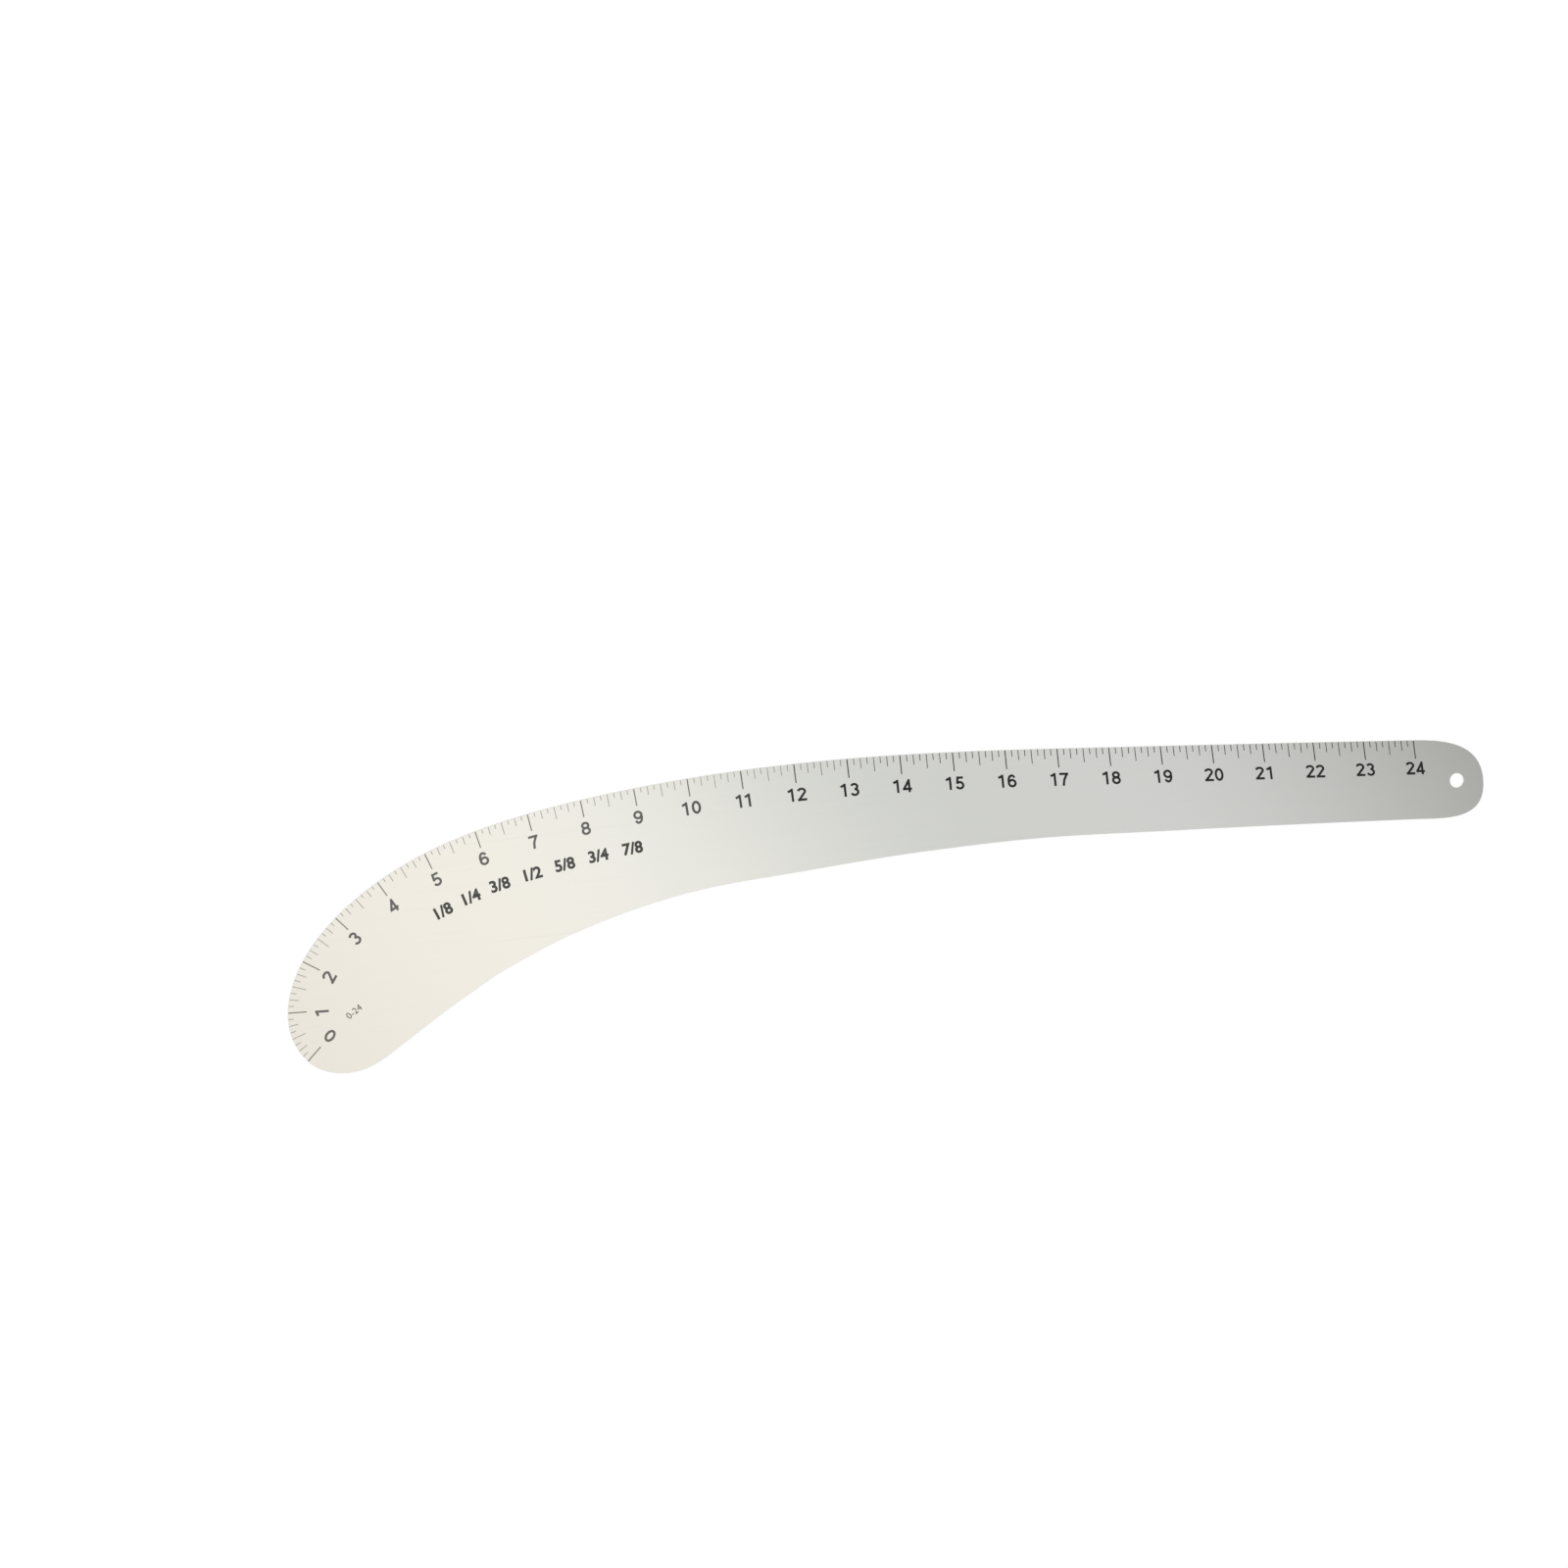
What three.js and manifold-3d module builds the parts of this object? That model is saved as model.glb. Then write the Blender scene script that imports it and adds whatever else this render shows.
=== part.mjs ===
import * as THREE from "three";
import { mergeGeometries, mergeVertices } from "three/addons/utils/BufferGeometryUtils.js";
import Module from "manifold-3d";

// A curved ruler for drafting garment patterns, stamped from one flat sheet of aluminium.
// Lengths are in millimetres and angles in degrees, turning left from +X.
// It lies face up: head at -X, tail at +X, underside at z 0, origin under the middle of its outline.

// Sheet
const thickness = 1.2;
const rimChamfer = 0.15;

// Scale edge: the long outer edge, from the first mark at the head to the last mark at the tail.
// It is drawn by its heading, the way it points, at shares of its length.
const scaleLength = 609.6;
const edgeShares = [0, 0.04, 0.08, 0.125, 0.17, 0.25, 0.33, 0.42, 0.5, 0.6, 0.7, 0.8, 1];
const edgeHeadings = [129.4, 83.4, 57.1, 39.6, 28.5, 14.1, 7.1, 2.9, -0.3, -3.4, -5, -5.1, -5.4];
const edgeSteps = 120;
const edgeCrowding = 1.5;
const walkSteps = 2400;

// Inner edge: it lies square across the blade from the scale edge, by shares of the widest place.
const bladeWidth = 67;
const innerShares = [0.2, 0.25, 0.3, 0.4, 0.5, 0.6, 0.7, 0.8, 0.9, 1];
const widthShares = [1, 0.962, 0.9, 0.8, 0.767, 0.701, 0.639, 0.616, 0.597, 0.581];
const innerSteps = 64;

// Head: a round lobe under the first mark. Its lowest point is set from that mark.
const headReach = 18.7;
const headDrop = 7.8;
const heelPullShares = [0.67, 0.2];
const chinPullShares = [0.39, 0.33];

// Tail: a round end past the last mark, with a hole to hang the ruler by.
const tailReach = 36.6;
const tailTipShare = 0.59;
const crownPullShares = [0.34, 0.51];
const solePullShares = [0.45, 0.4];
const bendSteps = 18;
const holeDiameter = 7;
const holeInset = 13.8;
const holeAcrossShare = 0.518;
const holeSteps = 24;

// Graduations, etched into the face in whole inches and eighths
const inch = 25.4;
const inchMarkWidth = 0.55;
const partMarkWidth = 0.4;
const markDepth = 0.1;
const markMargin = 0.1;
const inchMark = 9.1;
const halfMark = 6.9;
const quarterMark = 4.95;
const eighthMark = 3.2;
const eighthsPerInch = 8;

// Numbers, one under each inch mark, drawn with a flat pen and standing up towards the edge
const numberDrop = 11.7;
const numberHeight = 6.3;
const numberWidth = 4.4;
const numberPitch = 5.05;
const onesPitch = 4.3;
const penWidth = 1.12;
const bowlSegments = 7;

// The blade isn't cut quite true to its scale. By shares of the scale edge: how much of an inch mark is lost
// past the edge, how far a number stands nearer to it, how far it stands back towards the head, and the
// angle by which marks and numbers slant towards the tail on their way in.
const driftShares = [0, 0.04, 0.085, 0.13, 0.22, 0.37, 0.5, 0.8, 1];
const lostMarkShares = [0, 0.05, 0.02, 0.12, 0.11, 0.09, 0, 0, 0];
const nearerDropShares = [-0.08, -0.065, 0.065, 0.145, 0.13, 0.1, 0.01, 0.015, 0.1];
const backWidthShares = [0, 0.18, 0.2, 0.2, 0.07, 0.07, 0.12, 0.12, 0.18];
const slantAngles = [3.5, 5, 0, 0, -2, -0.5, 2, 7.5, 9];

// Overrun of a cutter past the face that it opens
const cutOverrun = 0.5;

// Share of a pen's width, a mark's depth or a mark's pitch within which two places count as one
const sameShare = 0.1;

const wasm = await Module();
wasm.setup();

// A closed geometry as a solid that can be joined and cut.
function solidOf(geometry) {
  geometry.deleteAttribute("normal");
  geometry.deleteAttribute("uv");
  const merged = mergeVertices(geometry);
  const vertProperties = merged.attributes.position.array;
  const triVerts = Uint32Array.from(merged.index.array);
  return new wasm.Manifold(new wasm.Mesh({ numProp: 3, vertProperties, triVerts }));
}

// The faces of a solid as a geometry, each with its own corners.
function facesOf(solid) {
  const { vertProperties, triVerts } = solid.getMesh();
  const indexed = new THREE.BufferGeometry();
  indexed.setAttribute("position", new THREE.BufferAttribute(vertProperties, 3));
  indexed.setIndex(new THREE.BufferAttribute(triVerts, 1));
  return indexed.toNonIndexed();
}

function direction(heading) {
  const angle = THREE.MathUtils.degToRad(heading);
  return new THREE.Vector2(Math.cos(angle), Math.sin(angle));
}

// A fair curve through values at stations, read by share.
function fairThrough(stations, values) {
  const curve = new THREE.CubicInterpolant(Float64Array.from(stations), Float64Array.from(values), 1);
  return (share) => curve.evaluate(share)[0];
}

// The scale edge is walked from its first mark in short steps along its heading.
const edgeHeading = fairThrough(edgeShares, edgeHeadings);
const edgeWidth = fairThrough(innerShares, widthShares);
const lostShare = fairThrough(driftShares, lostMarkShares);
const nearerShare = fairThrough(driftShares, nearerDropShares);
const backShare = fairThrough(driftShares, backWidthShares);
const slantAngle = fairThrough(driftShares, slantAngles);
const walk = [new THREE.Vector2()];
for (let i = 0; i < walkSteps; i++) {
  const along = direction(edgeHeading((i + 0.5) / walkSteps));
  walk.push(walk[i].clone().addScaledVector(along, scaleLength / walkSteps));
}

function edgePoint(share) {
  const place = share * walkSteps;
  const i = Math.min(Math.floor(place), walkSteps - 1);
  return walk[i].clone().lerp(walk[i + 1], place - i);
}

function innerPoint(share) {
  const across = direction(edgeHeading(share) - 90);
  return edgePoint(share).addScaledVector(across, bladeWidth * edgeWidth(share));
}

// A bend that leaves one point along its heading and reaches another along its own.
function bend(from, fromHeading, to, toHeading, pullShares) {
  const span = from.distanceTo(to);
  const leaving = from.clone().addScaledVector(direction(fromHeading), span * pullShares[0]);
  const arriving = to.clone().addScaledVector(direction(toHeading), -span * pullShares[1]);
  return new THREE.CubicBezierCurve(from, leaving, arriving, to).getPoints(bendSteps);
}

function headingBetween(from, to) {
  return THREE.MathUtils.radToDeg(to.clone().sub(from).angle());
}

// Blade outline, clockwise: scale edge, tail, inner edge back to the head, and round the head.
function bladeOutline() {
  const tailHeading = edgeHeading(1);
  const lastMark = edgePoint(1);
  const tailPoint = (along, acrossShare) =>
    lastMark
      .clone()
      .addScaledVector(direction(tailHeading), along)
      .addScaledVector(direction(tailHeading - 90), acrossShare * bladeWidth * edgeWidth(1));
  const tailTip = tailPoint(tailReach, tailTipShare);
  const inner = [];
  for (let i = 0; i <= innerSteps; i++) {
    inner.push(innerPoint(THREE.MathUtils.lerp(1, innerShares[0], i / innerSteps)));
  }
  const soleHeading = headingBetween(inner[0], inner[1]);
  const heelHeading = headingBetween(inner.at(-2), inner.at(-1));
  const firstMark = edgePoint(0);
  const chin = new THREE.Vector2(firstMark.x + headReach, firstMark.y - headDrop);
  const points = [];
  for (let i = 0; i < edgeSteps; i++) {
    points.push(edgePoint(Math.pow(i / edgeSteps, edgeCrowding)));
  }
  points.push(...bend(lastMark, tailHeading, tailTip, tailHeading - 90, crownPullShares).slice(0, -1));
  points.push(...bend(tailTip, tailHeading - 90, inner[0], soleHeading, solePullShares).slice(0, -1));
  points.push(...inner.slice(0, -1));
  points.push(...bend(inner.at(-1), heelHeading, chin, 180, heelPullShares).slice(0, -1));
  points.push(...bend(chin, 180, firstMark, edgeHeading(0), chinPullShares).slice(0, -1));
  const hole = tailPoint(tailReach - holeInset, holeAcrossShare);
  return { points, hole };
}

// The sheet, with its rim and hole broken by a small chamfer on both faces.
function sheetGeometry(outline) {
  const shape = new THREE.Shape(outline.points);
  const hole = new THREE.Path();
  hole.absarc(outline.hole.x, outline.hole.y, holeDiameter / 2, 0, 2 * Math.PI);
  shape.holes.push(hole);
  const sheet = new THREE.ExtrudeGeometry(shape, {
    depth: thickness - 2 * rimChamfer,
    bevelThickness: rimChamfer,
    bevelSize: rimChamfer,
    bevelOffset: -rimChamfer,
    bevelSegments: 1,
    curveSegments: holeSteps,
  });
  return sheet.translate(0, 0, rimChamfer);
}

// A cutter that sinks a flat shape into the face by the depth of the marks.
function cutter(shape) {
  const depth = markDepth + cutOverrun;
  const solid = new THREE.ExtrudeGeometry(shape, { depth, bevelEnabled: false });
  return solid.translate(0, 0, thickness - markDepth);
}

// Moves a cutter from the flat to a share of the scale edge: its x runs on along the edge, its y off it, and
// it slants as the scale does there.
function atEdge(geometry, share) {
  const foot = edgePoint(share);
  const turn = THREE.MathUtils.degToRad(edgeHeading(share));
  const slope = Math.tan(THREE.MathUtils.degToRad(slantAngle(share)));
  const slant = new THREE.Matrix4().makeShear(0, 0, -slope, 0, 0, 0);
  return geometry.applyMatrix4(slant).rotateZ(turn).translate(foot.x, foot.y, 0);
}

function graduation(length, width) {
  const half = width / 2;
  const top = -rimChamfer - markMargin;
  const corners = [
    new THREE.Vector2(-half, -length),
    new THREE.Vector2(half, -length),
    new THREE.Vector2(half, top),
    new THREE.Vector2(-half, top),
  ];
  return cutter(new THREE.Shape(corners));
}

// A pen stroke along a path: a ribbon, or a ring where the path closes on itself.
function penStroke(path) {
  const line = path.getPoints(bowlSegments);
  const closed = line[0].distanceTo(line.at(-1)) < sameShare * penWidth;
  if (closed) line.pop();
  const count = line.length;
  const sides = [1, -1].map((side) =>
    line.map((point, i) => {
      const before = closed ? line.at(i - 1) : line[Math.max(i - 1, 0)];
      const after = closed ? line[(i + 1) % count] : line[Math.min(i + 1, count - 1)];
      const arriving = point.clone().sub(before).normalize();
      const leaving = after.clone().sub(point).normalize();
      const along = arriving.add(leaving).normalize();
      const square = new THREE.Vector2(-along.y, along.x);
      const kept = point.equals(before) || point.equals(after);
      const stretch = kept ? 1 : 1 / Math.abs(along.dot(leaving));
      return point.clone().addScaledVector(square, (side * stretch * penWidth) / 2);
    }),
  );
  if (!closed) return new THREE.Shape([...sides[0], ...sides[1].reverse()]);
  const ring = new THREE.Shape(sides[1]);
  ring.holes.push(new THREE.Path(sides[0]));
  return ring;
}

function strokeLine(...corners) {
  return new THREE.Path(corners.map(([x, y]) => new THREE.Vector2(x, y)));
}

// An elliptic bowl between two angles, counterclockwise unless it is said to turn right.
function strokeBowl(x, y, wide, high, from, to, turnsRight = false) {
  const [start, end] = [from, to].map(THREE.MathUtils.degToRad);
  return new THREE.Path().absellipse(x, y, wide, high, start, end, turnsRight);
}

// The pen strokes of each digit, from its lower left corner.
function digitStrokes() {
  const [w, h, e] = [numberWidth, numberHeight, penWidth / 2];
  const middle = w / 2;
  const wide = w / 2 - e;
  const waist = 0.53 * h;
  const upper = (h - e - waist) / 2;
  const lower = (waist - e) / 2;
  const narrow = 0.88 * wide;
  const bowl = 0.33 * h;
  const stem = 0.62 * w;
  const bar = 0.26 * h;
  const six = [
    strokeBowl(middle, bowl, wide, bowl - e, 0, 360),
    strokeBowl(middle, h / 2, wide, h / 2 - e, 35, 200),
  ];
  return [
    [strokeBowl(middle, h / 2, wide, h / 2 - e, 0, 360)],
    [strokeLine([stem, 0], [stem, h]), strokeLine([0.16 * w, 0.76 * h], [stem, h - 1.2 * e])],
    [
      strokeBowl(middle, h - e - upper, wide, upper, 170, -35, true).lineTo(1.2 * e, e),
      strokeLine([0, e], [w, e]),
    ],
    [
      strokeBowl(middle, waist + upper, narrow, upper, 160, -90, true),
      strokeBowl(middle, waist - lower, wide, lower, 90, -160, true),
    ],
    [
      strokeLine([0.72 * w, 0], [0.72 * w, h]),
      strokeLine([0.72 * w, h - e], [e, bar]),
      strokeLine([0, bar], [w, bar]),
    ],
    [
      strokeLine([0.2 * w, h - e], [0.92 * w, h - e]),
      strokeLine([0.2 * w + e, h], [0.1 * w + e, 0.44 * h]),
      strokeBowl(middle, bowl, wide, bowl - e, 145, -160, true),
    ],
    six,
    [
      strokeLine([0, h - e], [w, h - e]),
      strokeLine([w - 1.2 * e, h - e], [0.5 * w, 0.45 * h], [0.38 * w, 0]),
    ],
    [
      strokeBowl(middle, waist + upper, narrow, upper, 0, 360),
      strokeBowl(middle, waist - lower, wide, lower, 0, 360),
    ],
    [
      strokeBowl(middle, h - bowl, wide, bowl - e, 0, 360),
      strokeBowl(middle, h / 2, wide, h / 2 - e, 215, 380),
    ],
  ];
}

const digitCutters = digitStrokes().map((strokes) => {
  const solids = strokes.map((path) => solidOf(cutter(penStroke(path))));
  return facesOf(solids.reduce((joined, next) => joined.add(next)));
});

// A whole number, centred under its mark but for the drift. Two ones stand closer, being narrow.
function number(value, share) {
  const digits = [...String(value)].map(Number);
  const pitch = digits.every((digit) => digit === 1) ? onesPitch : numberPitch;
  const left = (pitch - numberWidth) / 2 - (digits.length * pitch) / 2 - backShare(share) * numberWidth;
  const foot = (nearerShare(share) - 1) * numberDrop - numberHeight;
  const placed = digits.map((digit, i) => digitCutters[digit].clone().translate(left + i * pitch, foot, 0));
  return mergeGeometries(placed);
}

// Every mark that fits on the scale edge, an eighth of an inch apart, and a number at each whole inch.
function scaleCutters() {
  const eighth = inch / eighthsPerInch;
  const count = Math.floor(scaleLength / eighth + sameShare);
  const cutters = [];
  for (let i = 0; i <= count; i++) {
    const share = (i * eighth) / scaleLength;
    const part = i % eighthsPerInch;
    let length = part % 2 === 0 ? quarterMark : eighthMark;
    if (part === eighthsPerInch / 2) length = halfMark;
    if (part === 0) length = inchMark;
    const width = part === 0 ? inchMarkWidth : partMarkWidth;
    const mark = graduation(length - lostShare(share) * inchMark, width);
    mark.deleteAttribute("normal");
    mark.deleteAttribute("uv");
    cutters.push(atEdge(mark, share));
    if (part === 0) cutters.push(atEdge(number(i / eighthsPerInch, share), share));
  }
  return mergeGeometries(cutters);
}

// Bare metal everywhere, and ink on the floors of the etched marks.
function paintMarks(geometry, metal, ink) {
  const floor = thickness - markDepth;
  const position = geometry.attributes.position;
  const colors = new Float32Array(position.count * 3);
  for (let i = 0; i < position.count; i += 3) {
    const heights = [0, 1, 2].map((corner) => position.getZ(i + corner));
    const etched = heights.every((z) => Math.abs(z - floor) < sameShare * markDepth);
    const color = etched ? ink : metal;
    [0, 1, 2].forEach((corner) => color.toArray(colors, (i + corner) * 3));
  }
  geometry.setAttribute("color", new THREE.BufferAttribute(colors, 3));
  geometry.computeVertexNormals();
}

const outline = bladeOutline();
const sheet = solidOf(sheetGeometry(outline));
const bladeGeometry = facesOf(sheet.subtract(solidOf(scaleCutters())));
const box = new THREE.Box2().setFromPoints(outline.points);
const centre = box.getCenter(new THREE.Vector2());
bladeGeometry.translate(-centre.x, -centre.y, 0);
paintMarks(bladeGeometry, new THREE.Color(0xd9d8d2), new THREE.Color(0x1b1b1b));

const satin = { vertexColors: true, roughness: 0.42, metalness: 0.85 };
const blade = new THREE.Mesh(bladeGeometry, new THREE.MeshStandardMaterial(satin));
blade.name = "ruler_blade";

const ruler = new THREE.Group();
ruler.add(blade);

export default ruler;
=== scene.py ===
import math
import bmesh
import bpy
from mathutils import Euler, Matrix, Vector


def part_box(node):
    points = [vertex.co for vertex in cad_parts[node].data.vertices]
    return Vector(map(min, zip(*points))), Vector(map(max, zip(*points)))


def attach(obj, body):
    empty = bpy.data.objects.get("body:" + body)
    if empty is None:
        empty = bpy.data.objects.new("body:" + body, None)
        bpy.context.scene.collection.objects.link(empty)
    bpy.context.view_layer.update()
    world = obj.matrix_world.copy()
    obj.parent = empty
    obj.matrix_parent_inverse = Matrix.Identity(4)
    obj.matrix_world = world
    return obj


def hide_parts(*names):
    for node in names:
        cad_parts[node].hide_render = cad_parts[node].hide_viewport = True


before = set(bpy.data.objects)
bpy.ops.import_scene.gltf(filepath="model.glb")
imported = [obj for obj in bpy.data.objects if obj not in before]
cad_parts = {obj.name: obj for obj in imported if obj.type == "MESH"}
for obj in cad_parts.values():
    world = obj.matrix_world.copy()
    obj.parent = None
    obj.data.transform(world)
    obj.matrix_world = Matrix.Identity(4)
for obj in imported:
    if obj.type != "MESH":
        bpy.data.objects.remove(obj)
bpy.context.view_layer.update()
mm = 0.001
print("frame loaded")


# Materials

# A socket of a node, so that shader maths reads as plain sums
class Wire:
    def __init__(self, finish, socket):
        self.finish = finish
        self.socket = socket

    def maths(self, operation, *terms):
        return self.finish.node("Math", {"operation": operation}, dict(enumerate(terms)))

    def __add__(self, other):
        return self.maths("ADD", self, other)

    def __radd__(self, other):
        return self.maths("ADD", other, self)

    def __sub__(self, other):
        return self.maths("SUBTRACT", self, other)

    def __rsub__(self, other):
        return self.maths("SUBTRACT", other, self)

    def __mul__(self, other):
        return self.maths("MULTIPLY", self, other)

    def __rmul__(self, other):
        return self.maths("MULTIPLY", other, self)

    def __truediv__(self, other):
        return self.maths("DIVIDE", self, other)

    def __rtruediv__(self, other):
        return self.maths("DIVIDE", other, self)

    def atLeast(self, other):
        return self.maths("MAXIMUM", self, other)


# A node tree being wired. Every node in it is made by node().
class Finish:
    def __init__(self, tree):
        self.tree = tree
        tree.nodes.clear()

    def node(self, kind, settings, sockets, output=0):
        made = self.tree.nodes.new("ShaderNode" + kind)
        for name, value in settings.items():
            if name == "stops":
                self.setStops(made.color_ramp, value)
            else:
                setattr(made, name, value)
        for name, value in sockets.items():
            if isinstance(value, Wire):
                self.tree.links.new(value.socket, made.inputs[name])
            else:
                made.inputs[name].default_value = value
        outputs = made.outputs
        return Wire(self, outputs[output]) if len(outputs) else made

    # A ramp starts with its two ends, and the stops between them are added.
    def setStops(self, ramp, stops):
        for place, _ in stops[1:-1]:
            ramp.elements.new(place)
        for element, (place, colour) in zip(ramp.elements, stops):
            element.position = place
            element.color = opaque(colour)

    def coordinates(self, kind):
        return self.node("TexCoord", {}, {}, output=kind)

    def axis(self, vector, name):
        return self.node("SeparateXYZ", {}, {"Vector": vector}, output=name)

    def rayIs(self, kind):
        return self.node("LightPath", {}, {}, output=kind)

    def mapped(self, coordinates, scales, turn=0.0):
        sockets = {"Vector": coordinates, "Rotation": (0, 0, turn), "Scale": scales}
        return self.node("Mapping", {"vector_type": "POINT"}, sockets)

    def noise(self, coordinates, scale, detail, roughness=0.5):
        sockets = {
            "Vector": coordinates,
            "Scale": scale,
            "Detail": detail,
            "Roughness": roughness,
        }
        return self.node("TexNoise", {}, sockets)

    # Noise with its own number of waves along each axis
    def grain(self, coordinates, waves, detail, turn=0.0):
        return self.noise(self.mapped(coordinates, waves, turn), 1, detail)

    # A wire from 0 to 1 as the value goes from start to end
    def fade(self, value, start, end):
        settings = {"interpolation_type": "SMOOTHSTEP", "clamp": True}
        sockets = {"Value": value, "From Min": start, "From Max": end}
        return self.node("MapRange", settings, sockets)

    def blend(self, share, first, second):
        sockets = {"Factor": share, "A": first, "B": second}
        return self.node("Mix", {"data_type": "RGBA"}, sockets, output="Result")

    def bump(self, height, depth, strength, under=None):
        sockets = {"Height": height, "Distance": depth, "Strength": strength}
        if under:
            sockets["Normal"] = under
        return self.node("Bump", {}, sockets)

    def surface(self, sockets):
        shader = self.node("BsdfPrincipled", {}, sockets)
        self.node("OutputMaterial", {}, {"Surface": shader})


def newFinish(name):
    material = bpy.data.materials.new(name)
    material.use_nodes = True
    return material, Finish(material.node_tree)


# A colour as a socket holds it
def opaque(colour):
    return (*colour, 1)


def neutral(level):
    return opaque((level, level, level))


noiseMiddle = 0.5  # noise swings about this


# Satin aluminium, brushed along the blade. It is bare metal, so its colour is mostly what it mirrors.
# Patterns here and below are in waves per metre.
satin = {
    "colour": (0.865, 0.86, 0.846),
    "brushedColour": (0.845, 0.84, 0.826),
    "brushedFrom": 0.35,
    "brushedTo": 0.65,
    "roughness": 0.18,
    "roughnessSpread": 0.03,
    "fineBrushing": (30, 5200, 5200),  # long along X, narrow across
    "fineDetail": 3,
    "broadBrushing": (6, 900, 900),
    "broadDetail": 2,
    "broadShare": 0.2,
    "brushingDepth": 0.002 * mm,
    "brushingStrength": 1.0,
    "handling": 22,  # faint clouds left by handling
    "handlingDetail": 4,
    "handlingRoughness": 0.6,
    "scratches": (9, 420, 420),
    "scratchDetail": 1,
    "scratchTurn": 0.5,  # radians away from the brushing
    "scratchFrom": 0.71,
    "scratchTo": 0.76,
    "scratchDepth": 0.006 * mm,
    "scratchStrength": 0.5,
}


def satinFinish():
    material, finish = newFinish("satinAluminium")
    place = finish.coordinates("Object")
    fine = finish.grain(place, satin["fineBrushing"], satin["fineDetail"])
    broad = finish.grain(place, satin["broadBrushing"], satin["broadDetail"])
    grain = fine * (1 - satin["broadShare"]) + broad * satin["broadShare"]
    brushed = finish.fade(grain, satin["brushedFrom"], satin["brushedTo"])
    clouds = finish.noise(
        place, satin["handling"], satin["handlingDetail"], satin["handlingRoughness"]
    )
    crossed = finish.grain(
        place, satin["scratches"], satin["scratchDetail"], satin["scratchTurn"]
    )
    scratch = finish.fade(crossed, satin["scratchFrom"], satin["scratchTo"])
    spread = satin["roughnessSpread"]
    roughness = satin["roughness"] + (grain - noiseMiddle) * spread
    roughness = roughness + (clouds - noiseMiddle) * spread + scratch * spread
    lines = finish.bump(grain, satin["brushingDepth"], satin["brushingStrength"])
    normal = finish.bump(1 - scratch, satin["scratchDepth"], satin["scratchStrength"], lines)
    colour = finish.blend(brushed, opaque(satin["brushedColour"]), opaque(satin["colour"]))
    finish.surface({
        "Base Color": colour,
        "Metallic": 1.0,
        "Roughness": roughness,
        "Normal": normal,
    })
    return material


# The cut edge of the sheet: brighter where it was broken, with fine upright lines from the shear
cutEdge = {
    "colour": (0.9, 0.895, 0.885),
    "shadedColour": (0.72, 0.716, 0.705),
    "roughness": 0.24,
    "roughnessSpread": 0.2,
    "shearLines": (2600, 2600, 140),
    "shearDetail": 2,
    "wornFrom": 0.35,
    "wornTo": 0.7,
    "shearDepth": 0.008 * mm,
    "shearStrength": 0.6,
}


def cutEdgeFinish():
    material, finish = newFinish("cutAluminium")
    place = finish.coordinates("Object")
    lines = finish.grain(place, cutEdge["shearLines"], cutEdge["shearDetail"])
    worn = finish.fade(lines, cutEdge["wornFrom"], cutEdge["wornTo"])
    finish.surface({
        "Base Color": finish.blend(
            worn, opaque(cutEdge["shadedColour"]), opaque(cutEdge["colour"])
        ),
        "Metallic": 1.0,
        "Roughness": cutEdge["roughness"] + (1 - worn) * cutEdge["roughnessSpread"],
        "Normal": finish.bump(lines, cutEdge["shearDepth"], cutEdge["shearStrength"]),
    })
    return material


# Ink: thinner and greyer towards the head, where hands rub it, with a fine speckle of wear
ink = {
    "speckle": 1500,
    "speckleDetail": 2,
    "speckleShare": 0.7,
    "patches": 60,
    "patchDetail": 3,
    "wornFrom": 0.5,
    "wornTo": 0.75,
    "wornShare": 0.2,  # how much of the greying is speckle, the rest being rubbed
    "roughness": 0.5,
    "polish": 0.1,
    "specular": 0.25,
    "bumpDepth": 0.006 * mm,
    "bumpStrength": 0.5,
}
# Each tone is rubbed up to its first place along the blade and fresh from its second.
numberInk = {
    "name": "numberInk",
    "rubbed": (0.135, 0.133, 0.124),
    "fresh": (0.008, 0.008, 0.0085),
    "along": (-0.15, -0.02),
}
inchInk = {
    "name": "inchInk",
    "rubbed": (0.19, 0.186, 0.17),
    "fresh": (0.025, 0.025, 0.0245),
    "along": (-0.15, -0.02),
}
partInk = {
    "name": "partInk",
    "rubbed": (0.37, 0.36, 0.33),
    "fresh": (0.025, 0.025, 0.0245),
    "along": (-0.08, 0.03),
}
rowInk = {
    "name": "rowInk",
    "rubbed": (0.07, 0.069, 0.065),
    "fresh": (0.01, 0.01, 0.0105),
    "along": (-0.15, -0.02),
}


def inkFinish(tone):
    material, finish = newFinish(tone["name"])
    place = finish.coordinates("Object")
    speckle = finish.noise(place, ink["speckle"], ink["speckleDetail"])
    patches = finish.noise(place, ink["patches"], ink["patchDetail"])
    spots = speckle * ink["speckleShare"] + patches * (1 - ink["speckleShare"])
    worn = finish.fade(spots, ink["wornFrom"], ink["wornTo"])
    rubbed = 1 - finish.fade(finish.axis(place, "X"), *tone["along"])
    grey = rubbed * (1 - ink["wornShare"]) + worn * ink["wornShare"]
    finish.surface({
        "Base Color": finish.blend(grey, opaque(tone["fresh"]), opaque(tone["rubbed"])),
        "Roughness": ink["roughness"] - grey * ink["polish"],
        "Specular IOR Level": ink["specular"],
        "Normal": finish.bump(speckle, ink["bumpDepth"], ink["bumpStrength"]),
    })
    return material


satinMetal = satinFinish()
cutMetal = cutEdgeFinish()
inNumbers = inkFinish(numberInk)
inInchMarks = inkFinish(inchInk)
inPartMarks = inkFinish(partInk)
onFace = inkFinish(rowInk)
print("finishes made")


# Pieces

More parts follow.
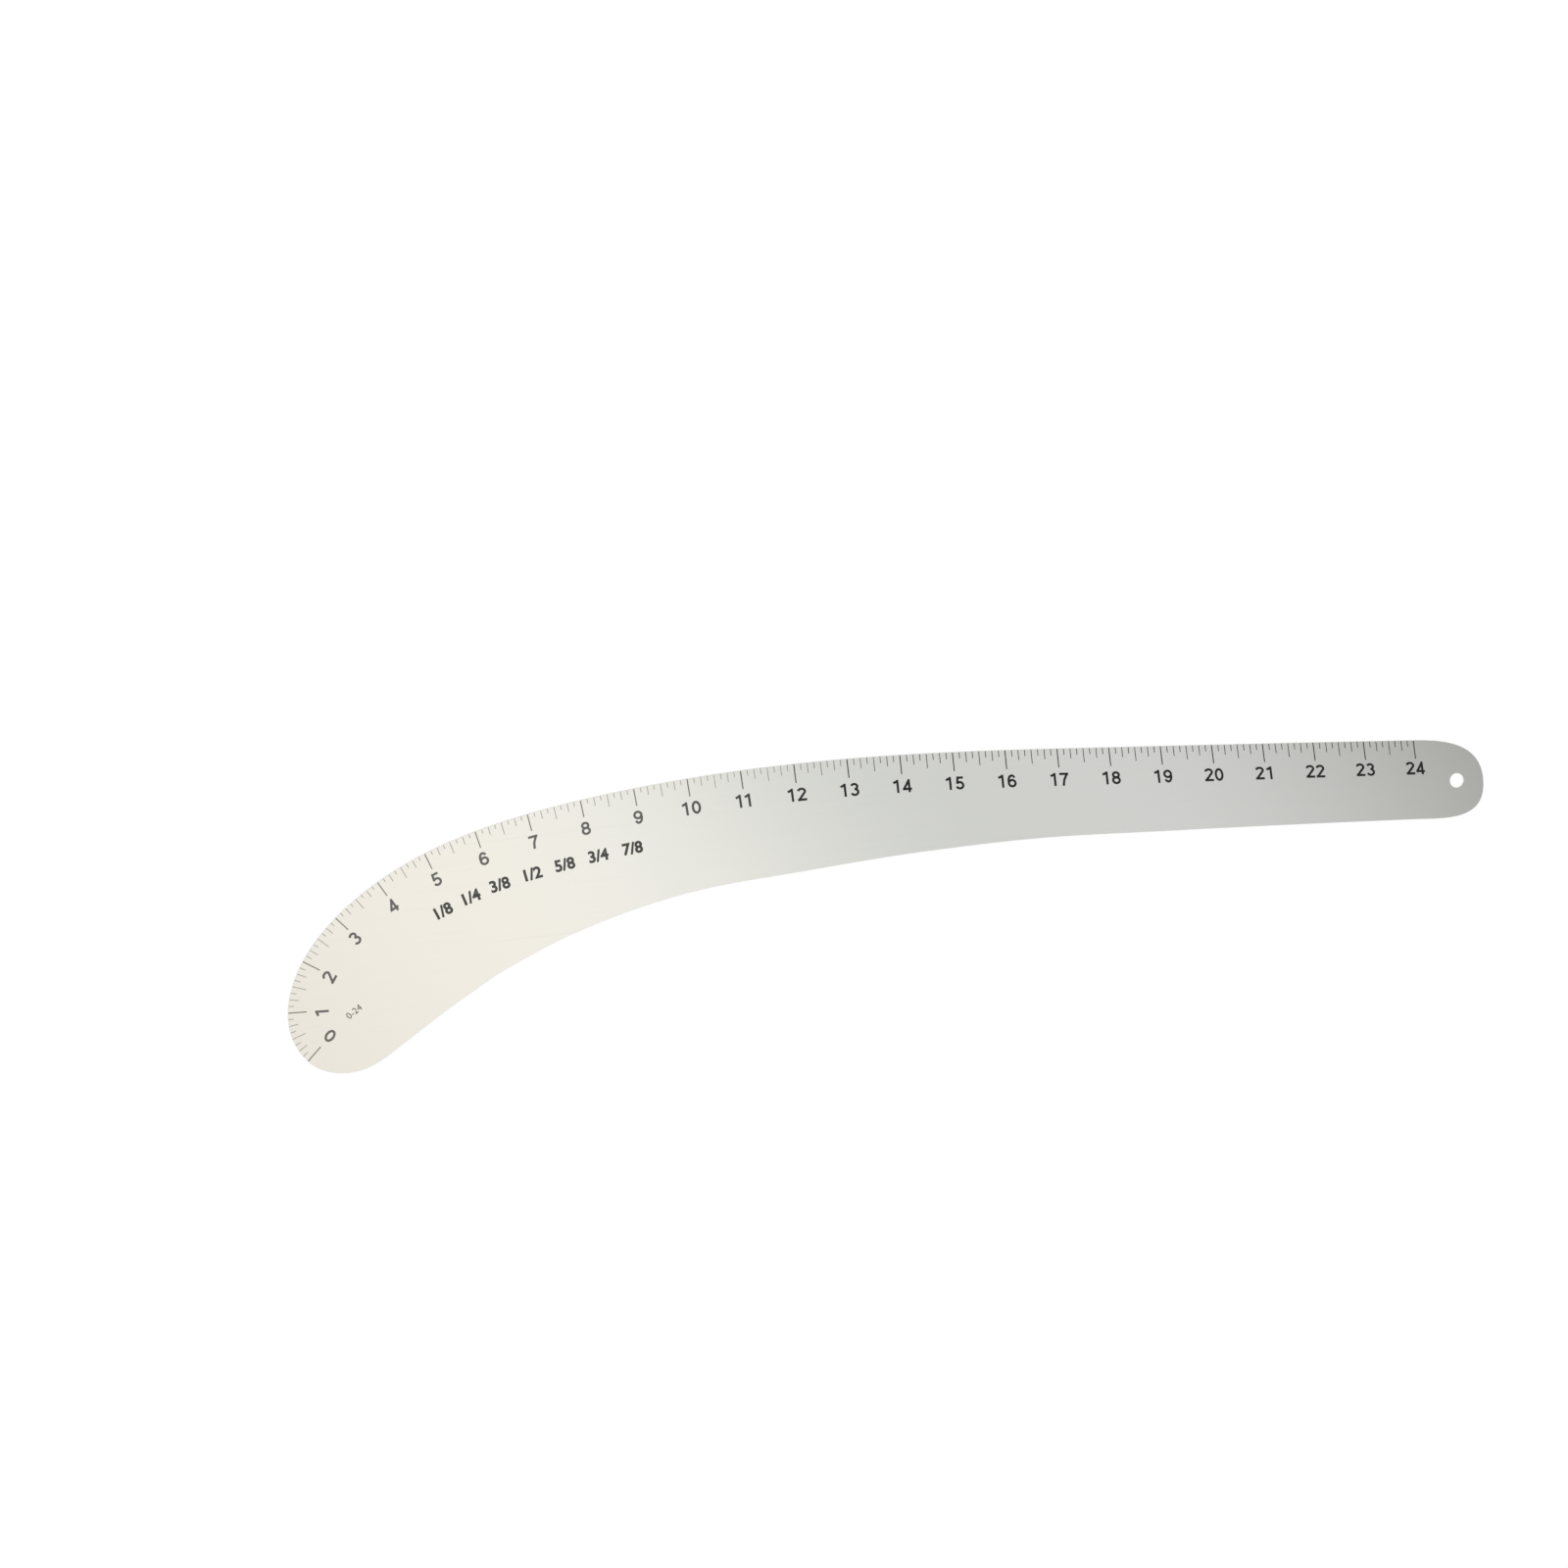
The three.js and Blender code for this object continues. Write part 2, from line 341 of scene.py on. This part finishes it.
def newObject(bm, name, materials):
    mesh = bpy.data.meshes.new(name)
    bm.to_mesh(mesh)
    bm.free()
    for material in materials:
        mesh.materials.append(material)
    made = bpy.data.objects.new(name, mesh)
    bpy.context.scene.collection.objects.link(made)
    return made


def addPiece(bm, name, materials):
    piece = newObject(bm, name, materials)
    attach(piece, "root")
    return piece


# Turns flat faces into a slab that stands on them.
def thicken(bm, height):
    raised = bmesh.ops.extrude_face_region(bm, geom=bm.faces[:])
    tops = [part for part in raised["geom"] if isinstance(part, bmesh.types.BMVert)]
    bmesh.ops.translate(bm, verts=tops, vec=(0, 0, height))
    bmesh.ops.recalc_face_normals(bm, faces=bm.faces[:])


blade = {
    "node": "ruler_blade",
    "weld": 0.0002 * mm,  # corners closer than this are one
    "topSlack": 0.001 * mm,
    "levelFrom": 0.99,  # how upright the normal of a level face is
    "chamferFrom": 0.3,  # and that of a sloping one, between these two
    "chamferTo": 0.95,
    "rimRound": 0.08 * mm,
    "rimSegments": 3,
    "smoothAngle": math.radians(28),
}
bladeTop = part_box(blade["node"])[1].z


def weldedBlade():
    bm = bmesh.new()
    bm.from_mesh(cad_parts[blade["node"]].data)
    bmesh.ops.remove_doubles(bm, verts=bm.verts, dist=blade["weld"])
    return bm


def isLevel(face):
    return abs(face.normal.z) > blade["levelFrom"]


# The chamfer runs round the rim and the hole, the only sloping faces.
def isChamfer(face):
    return blade["chamferFrom"] < abs(face.normal.z) < blade["chamferTo"]


def facesUp(face):
    return face.normal.z > blade["chamferTo"]


def onTop(vert):
    return abs(vert.co.z - bladeTop) < blade["topSlack"]


# The top is filled afresh between the rim and the marks, because its long slivers shade badly.
def makeSheet():
    bm = weldedBlade()
    top = [face for face in bm.faces if all(map(onTop, face.verts))]
    bmesh.ops.delete(bm, geom=top, context="FACES")
    around = [edge for edge in bm.edges if edge.is_boundary]
    bmesh.ops.triangle_fill(bm, edges=around, use_beauty=True, normal=(0, 0, 1))
    rims = []
    for edge in bm.edges:
        sides = edge.link_faces
        if isChamfer(sides[0]) != isChamfer(sides[1]) and not any(map(facesUp, sides)):
            rims.append(edge)
    bmesh.ops.bevel(
        bm, geom=rims, offset=blade["rimRound"], offset_type="OFFSET", affect="EDGES",
        segments=blade["rimSegments"], profile=0.5, material=-1,
    )
    for face in bm.faces:
        face.smooth = True
        face.material_index = 0 if isLevel(face) else 1
    for edge in bm.edges:
        levels = [isLevel(face) for face in edge.link_faces]
        edge.smooth = levels[0] == levels[1] and edge.calc_face_angle() < blade["smoothAngle"]
    sheet = addPiece(bm, "blade_sheet", [satinMetal, cutMetal])
    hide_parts(blade["node"])


makeSheet()
print("sheet made")


# The floors of the etched marks, filled with ink to just under the face
marks = {
    "depth": 0.1 * mm,
    "fill": 0.09 * mm,
    "slack": 0.01 * mm,
    "flatAngle": math.radians(1),
    "markCorners": 4,  # a mark's floor is one oblong, a number's has more corners
    "inchLength": 7.2 * mm,  # only the inch marks are longer
}


def markFloors():
    bm = weldedBlade()
    floor = bladeTop - marks["depth"]
    strays = []
    for face in bm.faces:
        onFloor = abs(face.calc_center_median().z - floor) < marks["slack"]
        if not (onFloor and facesUp(face)):
            strays.append(face)
    bmesh.ops.delete(bm, geom=strays, context="FACES")
    return bm


# Groups of faces that hang together
def islands(bm):
    left = set(bm.faces)
    groups = []
    while left:
        group = set()
        reach = [left.pop()]
        while reach:
            face = reach.pop()
            group.add(face)
            near = {other for edge in face.edges for other in edge.link_faces} & left
            left -= near
            reach.extend(near)
        groups.append(group)
    return groups


def cornersOf(group):
    corners = {vert for face in group for vert in face.verts}
    return sorted((vert.co.copy() for vert in corners), key=tuple)


def middleOf(places):
    return sum(places, Vector()) / len(places)


# The end of an oblong, as seen from its middle
def reachOf(corners):
    end = sorted(corners, key=lambda corner: (corner - corners[0]).length)[:2]
    return middleOf(end) - middleOf(corners)


def isMark(group):
    return len(cornersOf(group)) == marks["markCorners"]


def isInchMark(group):
    return isMark(group) and 2 * reachOf(cornersOf(group)).length > marks["inchLength"]


def isPartMark(group):
    return isMark(group) and not isInchMark(group)


def isNumber(group):
    return not isMark(group)


def fillWithInk(name, wanted, material):
    bm = markFloors()
    strays = [face for group in islands(bm) if not wanted(group) for face in group]
    bmesh.ops.delete(bm, geom=strays, context="FACES")
    bmesh.ops.dissolve_limit(
        bm, verts=bm.verts, edges=bm.edges, angle_limit=marks["flatAngle"]
    )
    thicken(bm, marks["fill"])
    addPiece(bm, name, [material])


fillWithInk("inch_marks", isInchMark, inInchMarks)
fillWithInk("part_marks", isPartMark, inPartMarks)
fillWithInk("numbers", isNumber, inNumbers)
print("marks filled")


# Where the inch marks stand, from the head on: the foot of each at the edge, and the way in from there
def inchMarks():
    bm = markFloors()
    groups = islands(bm)
    numbers = [middleOf(cornersOf(group)) for group in groups if isNumber(group)]
    oblongs = [cornersOf(group) for group in groups if isInchMark(group)]
    bm.free()
    stations = []
    for corners in oblongs:
        middle, reach = middleOf(corners), reachOf(corners)
        number = min(numbers, key=lambda place: (place - middle).length)
        inward = reach.normalized() * math.copysign(1, reach.dot(number - middle))
        stations.append((middle - inward * reach.length, inward))
    ordered = [max(stations, key=lambda station: station[0].x)]
    stations.remove(ordered[0])
    while stations:
        last = ordered[-1][0]
        ordered.append(min(stations, key=lambda station: (station[0] - last).length))
        stations.remove(ordered[-1])
    return ordered[::-1]


# Plain printed numbers on the face: a row of the inch's fractions, and the scale's span near zero
printing = {
    "thickness": 0.012 * mm,
    "rowFractions": ["1/8", "1/4", "3/8", "1/2", "5/8", "3/4", "7/8"],
    "rowFrom": 4.79,  # inches along the scale
    "rowTo": 8.77,
    "rowInset": 27.4 * mm,
    "rowHeight": 5.2 * mm,
    "rowBoldness": 0.035,
    "span": "0-24",
    "spanPlace": (-262.1 * mm, -31.7 * mm),
    "spanHeight": 3.1 * mm,
    "spanBoldness": 0.0,
    "spanTurn": math.radians(33),
    "capShare": 0.69,  # height of a figure as a share of the type's size
    "curveSteps": 4,  # with more, the tight bends of bold figures cross themselves
}


# Lettering as a mesh, centred on the origin and lying on z 0
def typeset(text, height, boldness):
    curve = bpy.data.curves.new("type", "FONT")
    curve.body = text
    curve.size = height / printing["capShare"]
    curve.offset = boldness * curve.size
    curve.align_x = "CENTER"
    curve.align_y = "CENTER"
    curve.resolution_u = printing["curveSteps"]
    setter = bpy.data.objects.new("type", curve)
    bpy.context.scene.collection.objects.link(setter)
    bpy.context.view_layer.update()
    mesh = bpy.data.meshes.new_from_object(setter)
    bpy.data.objects.remove(setter)
    return mesh


def printPiece(name, lines):
    bm = bmesh.new()
    for text, height, boldness, place, turn in lines:
        mesh = typeset(text, height, boldness)
        mesh.transform(Matrix.Translation(place) @ Matrix.Rotation(turn, 4, "Z"))
        bm.from_mesh(mesh)
        bpy.data.meshes.remove(mesh)
    bmesh.ops.remove_doubles(bm, verts=bm.verts, dist=blade["weld"])
    thicken(bm, printing["thickness"])
    addPiece(bm, name, [onFace])


# Place and turn of something printed a way inside the scale edge
def insideEdge(inches, at, inset):
    before = min(int(at), len(inches) - 2)
    (footA, inwardA), (footB, inwardB) = inches[before], inches[before + 1]
    share = at - before
    inward = inwardA.lerp(inwardB, share).normalized()
    place = footA.lerp(footB, share) + inward * inset
    return Vector((*place.xy, bladeTop)), math.atan2(inward.y, inward.x) + math.pi / 2


def fractionRow():
    inches = inchMarks()
    fractions = printing["rowFractions"]
    pitch = (printing["rowTo"] - printing["rowFrom"]) / (len(fractions) - 1)
    lines = []
    for i, text in enumerate(fractions):
        at = printing["rowFrom"] + i * pitch
        place, turn = insideEdge(inches, at, printing["rowInset"])
        lines.append((text, printing["rowHeight"], printing["rowBoldness"], place, turn))
    return lines


def spanLine():
    place = Vector((*printing["spanPlace"], bladeTop))
    look = printing["spanHeight"], printing["spanBoldness"]
    return printing["span"], *look, place, printing["spanTurn"]


printPiece("fraction_row", fractionRow())
printPiece("scale_span", [spanLine()])
print("numbers printed")


# Studio

studio = {
    "floorSize": 60,
    "floorDrop": 0.02 * mm,
    "floorWhite": 0.95,
    "floorShown": 0.82,  # share of plain white in it as seen, so the shadow stays faint
    "worldLevel": 1.05,
    "keyPlace": (-0.9, 0.9, 1.6),
    "keySize": 1.2,
    "keyPower": 9,
}


# 1 for a ray from the camera or of one of the kinds named, and 0 for any other
def seenBy(finish, kinds):
    seen = finish.rayIs("Is Camera Ray")
    for kind in kinds:
        seen = seen.atLeast(finish.rayIs(kind))
    return seen


def makeFloor():
    material, finish = newFinish("whiteFloor")
    paper = finish.node("BsdfDiffuse", {}, {"Color": neutral(studio["floorWhite"])})
    glow = finish.node("Emission", {}, {"Color": neutral(1), "Strength": 1.0})
    share = seenBy(finish, ["Is Glossy Ray", "Is Transmission Ray"]) * studio["floorShown"]
    mixed = finish.node("MixShader", {}, {0: share, 1: paper, 2: glow})
    finish.node("OutputMaterial", {}, {"Surface": mixed})
    bm = bmesh.new()
    bmesh.ops.create_grid(bm, x_segments=1, y_segments=1, size=studio["floorSize"] / 2)
    bmesh.ops.translate(bm, verts=bm.verts, vec=(0, 0, -studio["floorDrop"]))
    newObject(bm, "floor", [material])


# White all round, but metal mirrors a warm lamp over the head, a soft grey card and a darker one.
# The stops run across the sky by how far it leans from upright, as a slope towards the tail.
card = {
    "turn": math.radians(30),
    "stops": [
        (-0.4, (0.72, 0.70, 0.63)),
        (-0.17, (1.02, 0.98, 0.89)),
        (-0.06, (1.10, 1.065, 0.99)),
        (0.0, (0.95, 0.97, 0.925)),
        (0.06, (0.655, 0.68, 0.65)),
        (0.11, (0.66, 0.675, 0.655)),
        (0.18, (0.83, 0.835, 0.835)),
        (0.30, (0.49, 0.495, 0.48)),
        (0.42, (0.17, 0.18, 0.15)),
        (0.65, (0.28, 0.28, 0.27)),
        (1.2, (0.92, 0.92, 0.91)),
    ],
    "lowest": 0.05,  # slopes are reckoned no lower in the sky than this
    "flagShade": (0.5, 0.5, 0.485),  # a strip low down all round, so a blade seen edge-on stands out
    "flagFrom": 0.24,
    "flagTo": 0.07,
}


def makeWorld():
    world = bpy.data.worlds.new("studio")
    world.use_nodes = True
    bpy.context.scene.world = world
    finish = Finish(world.node_tree)
    turned = finish.mapped(finish.coordinates("Generated"), (1, 1, 1), -card["turn"])
    up = finish.axis(turned, "Z")
    lean = finish.axis(turned, "X") / up.atLeast(card["lowest"])
    first, last = card["stops"][0][0], card["stops"][-1][0]
    stops = [((at - first) / (last - first), shade) for at, shade in card["stops"]]
    place = (lean - first) / (last - first)
    mirrored = finish.node("ValToRGB", {"stops": stops}, {"Fac": place})
    flag = finish.fade(up, card["flagFrom"], card["flagTo"])
    mirrored = finish.blend(flag, mirrored, opaque(card["flagShade"]))
    lit = finish.blend(finish.rayIs("Is Glossy Ray"), neutral(studio["worldLevel"]), mirrored)
    colour = finish.blend(seenBy(finish, ["Is Transmission Ray"]), lit, neutral(1))
    background = finish.node("Background", {}, {"Color": colour, "Strength": 1.0})
    finish.node("OutputWorld", {}, {"Surface": background})


def makeKeyLight():
    lamp = bpy.data.lights.new("key", "AREA")
    lamp.shape = "DISK"
    lamp.size = studio["keySize"]
    lamp.energy = studio["keyPower"]
    key = bpy.data.objects.new("key", lamp)
    key.location = studio["keyPlace"]
    key.rotation_euler = (-Vector(studio["keyPlace"])).to_track_quat("-Z", "Y").to_euler()
    key.visible_glossy = False
    bpy.context.scene.collection.objects.link(key)


camera = {
    "place": (-0.1640, 0.1676, 1.0148),
    "turn": (-5.83, -6.99, -5.91),  # degrees about X, Y and Z
    "lens": 50,
    "sensor": 36,
    "nearest": 0.01,
    "farthest": 200,
}


def makeCamera():
    data = bpy.data.cameras.new("camera")
    data.lens = camera["lens"]
    data.sensor_width = camera["sensor"]
    data.clip_start = camera["nearest"]
    data.clip_end = camera["farthest"]
    eye = bpy.data.objects.new("camera", data)
    eye.location = camera["place"]
    eye.rotation_euler = Euler([math.radians(angle) for angle in camera["turn"]], "XYZ")
    bpy.context.scene.collection.objects.link(eye)
    bpy.context.scene.camera = eye


makeFloor()
makeWorld()
makeKeyLight()
makeCamera()
bpy.context.scene.view_settings.view_transform = "Standard"
print("studio set")
